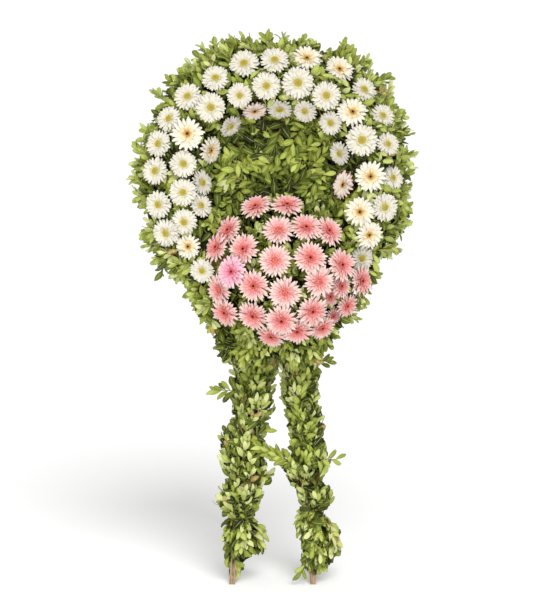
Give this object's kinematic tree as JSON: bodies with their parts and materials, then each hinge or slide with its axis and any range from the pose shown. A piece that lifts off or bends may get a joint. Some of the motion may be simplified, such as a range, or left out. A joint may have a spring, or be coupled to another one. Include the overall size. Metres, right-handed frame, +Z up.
{
  "type": "memorial wreath on easel",
  "caption": "Funeral wreath: a leafy straw ring with rows of white gerberas and a mound of pink ones, on a leaning batten easel wrapped in sprigs.",
  "frame": {"origin": "on the floor, under the middle of the whole wreath's box", "axes": "+Z up, -Y to the front that is seen, +X to the viewer's right"},
  "size_m": [0.963, 0.8008, 1.8198],
  "materials": {
    "wood": "sawn, unpainted softwood",
    "steel": "zinc-plated screw",
    "straw": "matt bound straw",
    "leaf": "soft satin evergreen leaf",
    "twine": "matt binding twine",
    "white_petal": "soft matt petal",
    "pink_petal": "soft matt petal"
  },
  "bodies": {
    "root": {"left_front_leg": "wood", "right_front_leg": "wood", "rear_leg": "wood", "upper_rail": "wood", "lower_rail": "wood", "rear_stay": "wood", "apex_screw": "steel", "straw_base": "straw", "ring_greenery_1": "leaf", "ring_greenery_2": "leaf", "ring_greenery_3": "leaf", "ring_greenery_4": "leaf", "ring_greenery_5": "leaf", "ring_greenery_6": "leaf", "centre_greenery": "leaf", "mound_greenery": "leaf", "chin_greenery": "leaf", "left_leg_greenery_1": "leaf", "left_leg_greenery_2": "leaf", "left_leg_greenery_3": "leaf", "left_leg_greenery_4": "leaf", "right_leg_greenery_1": "leaf", "right_leg_greenery_2": "leaf", "right_leg_greenery_3": "leaf", "right_leg_greenery_4": "leaf", "left_leg_tie": "twine", "right_leg_tie": "twine", "white_gerberas_outer_01": "white_petal", "white_gerberas_outer_02": "white_petal", "white_gerberas_outer_03": "white_petal", "white_gerberas_outer_04": "white_petal", "white_gerberas_outer_05": "white_petal", "white_gerberas_outer_06": "white_petal", "white_gerberas_outer_07": "white_petal", "white_gerberas_outer_08": "white_petal", "white_gerberas_outer_09": "white_petal", "white_gerberas_outer_10": "white_petal", "white_gerberas_middle_01": "white_petal", "white_gerberas_middle_02": "white_petal", "white_gerberas_middle_03": "white_petal", "white_gerberas_middle_04": "white_petal", "white_gerberas_middle_05": "white_petal", "white_gerberas_middle_06": "white_petal", "white_gerberas_middle_07": "white_petal", "white_gerberas_inner_01": "white_petal", "white_gerberas_inner_02": "white_petal", "white_gerberas_inner_03": "white_petal", "white_gerberas_inner_04": "white_petal", "white_gerberas_inner_05": "white_petal", "pink_gerberas_01": "pink_petal", "pink_gerberas_02": "pink_petal", "pink_gerberas_03": "pink_petal", "pink_gerberas_04": "pink_petal", "pink_gerberas_05": "pink_petal", "pink_gerberas_06": "pink_petal", "pink_gerberas_07": "pink_petal", "pink_gerberas_08": "pink_petal", "pink_gerberas_09": "pink_petal", "pink_gerberas_10": "pink_petal", "pink_gerberas_11": "pink_petal"}
  },
  "joints": []
}
